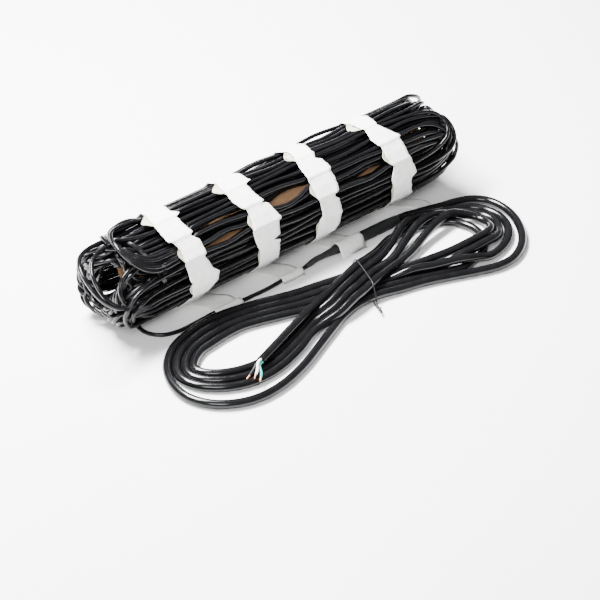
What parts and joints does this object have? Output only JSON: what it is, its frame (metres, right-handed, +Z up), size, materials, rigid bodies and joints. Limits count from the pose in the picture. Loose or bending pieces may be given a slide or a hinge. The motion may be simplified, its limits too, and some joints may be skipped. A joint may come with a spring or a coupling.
{
  "type": "snow melting mat",
  "caption": "Rolled snow melting mat: black heating cable held by white tape strips, wound on a cardboard core, with a splice and a tied black cold lead.",
  "frame": {"origin": "bottom centre of the roll, its tape tails and its splice, on the floor; the cold lead is left out", "axes": "+X along the roll's axis towards the end with the splice, -Y towards the tape tails and the cold lead, +Z up"},
  "size_m": [0.6656, 0.3273, 0.1408],
  "materials": {
    "core_card": "plain kraft cardboard",
    "cable_jacket": "smooth black jacket",
    "tape_fabric": "white non-woven tape",
    "sleeve_shrink": "dark grey heat shrink",
    "lead_jacket": "satin black jacket",
    "tie_black": "black coated wire",
    "wire_black": "black insulation",
    "wire_white": "white insulation",
    "wire_green": "green insulation",
    "copper_bare": "bare stranded copper"
  },
  "bodies": {
    "root": {"core_tube": "core_card", "heating_cable": "cable_jacket", "tape_strip_1": "tape_fabric", "tape_strip_2": "tape_fabric", "tape_strip_3": "tape_fabric", "tape_strip_4": "tape_fabric", "splice_sleeve": "sleeve_shrink", "cold_lead_tube": "lead_jacket", "cold_lead_hank": "lead_jacket", "bundle_tie": "tie_black", "conductor_black": "wire_black", "conductor_white": "wire_white", "conductor_green": "wire_green", "copper_end_black": "copper_bare", "copper_end_white": "copper_bare", "copper_end_green": "copper_bare"}
  },
  "joints": []
}
